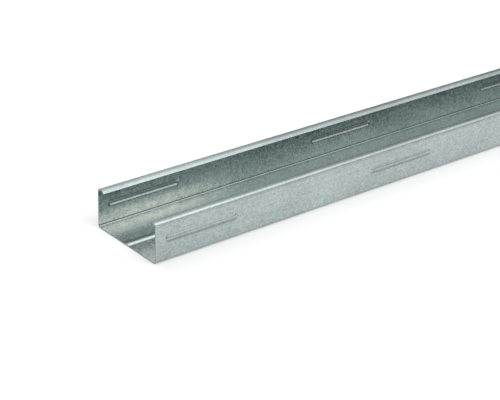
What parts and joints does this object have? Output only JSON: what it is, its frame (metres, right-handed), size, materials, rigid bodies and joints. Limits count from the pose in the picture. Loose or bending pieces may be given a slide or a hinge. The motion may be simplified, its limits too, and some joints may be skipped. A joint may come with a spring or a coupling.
{
  "type": "ceiling channel",
  "caption": "Roll-formed sheet steel ceiling channel: an open C section with inward-rolled, sloping lips, a ribbed web and pressed beads along both flanges.",
  "frame": {"origin": "middle of the length and of the width, on the underside of the web", "axes": "X along the length, Y across the width, +Z from the web's underside to the open side between the lips; the stock lies on its web as in the picture, and the end seen in the picture is at -X"},
  "size_m": [2.6, 0.0616, 0.027],
  "materials": {
    "galvanised_steel": "zinc-coated steel, dull satin with a fine spangle, slightly blue-green grey"
  },
  "bodies": {
    "root": {"ceiling_channel": "galvanised_steel"}
  },
  "joints": []
}
